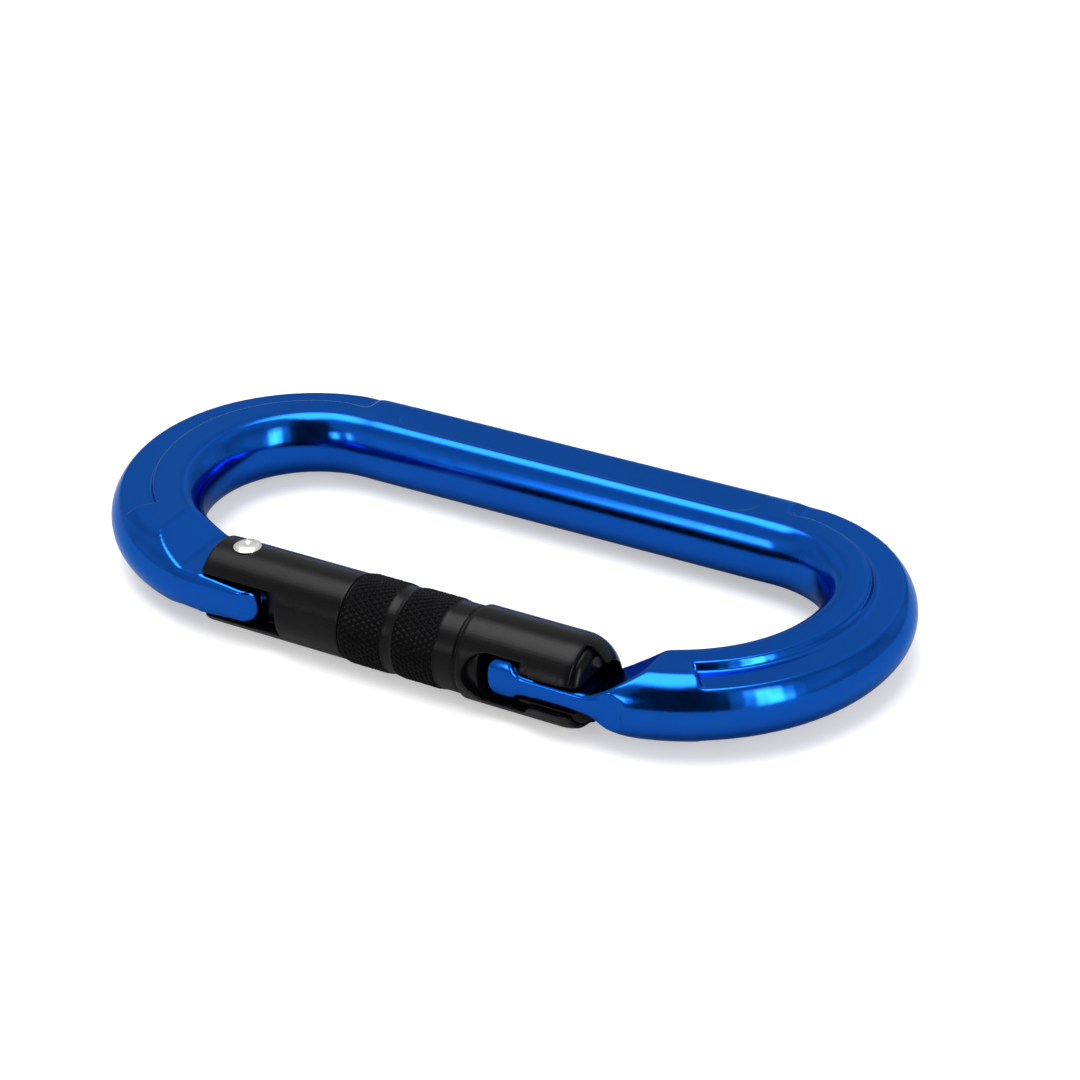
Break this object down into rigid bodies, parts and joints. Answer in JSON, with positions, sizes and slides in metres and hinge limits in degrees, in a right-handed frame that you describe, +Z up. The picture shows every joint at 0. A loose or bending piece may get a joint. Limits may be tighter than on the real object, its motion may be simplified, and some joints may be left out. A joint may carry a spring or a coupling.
{
  "type": "locking carabiner",
  "caption": "Oval twist-lock carabiner: a forged bar with a hinged, spring-closed gate and a knurled sleeve whose keyhole window frees the nose.",
  "frame": {"origin": "centre of the overall length and width, on the mid-plane of the bar", "axes": "+X along the oval from the hinge end to the nose end, +Y from the gate towards the spine, +Z up, across the bar"},
  "size_m": [0.1122, 0.0534, 0.012],
  "materials": {
    "anodised_blue": "satin-gloss blue anodised",
    "anodised_black": "satin black anodised",
    "stainless": "bright domed",
    "spring_steel": "drawn wire",
    "acetal": "natural white"
  },
  "bodies": {
    "frame": {"frame": "anodised_blue"},
    "gate": {"gate_barrel": "anodised_black", "hinge_rivet": "stainless", "gate_spring": "spring_steel", "sleeve_spring": "spring_steel", "guide_pin": "stainless", "snap_ring": "spring_steel", "bearing_ring": "acetal"},
    "sleeve": {"lock_sleeve": "anodised_black"},
    "plunger": {"spring_plunger": "stainless"}
  },
  "joints": [
    {"name": "gate_swing", "type": "hinge", "parent": "frame", "child": "gate", "pos_m": [-0.0236, -0.02067, 0], "axis": [0, 0, 1], "range_deg": [0, 25], "stiffness_Nm_per_rad": 0.05},
    {"name": "sleeve_twist", "type": "hinge", "parent": "gate", "child": "sleeve", "pos_m": [0, -0.02088, 0], "axis": [1, 0, 0], "range_deg": [0, 60], "deforming": ["sleeve_spring"]},
    {"name": "plunger_slide", "type": "slide", "parent": "gate", "child": "plunger", "axis": [1, 0, 0], "range_m": [0, 0.0008], "deforming": ["gate_spring"]}
  ],
  "couplings": [
    {"joint": "plunger_slide", "follows": "gate_swing", "m_per_rad": 0.0018}
  ]
}
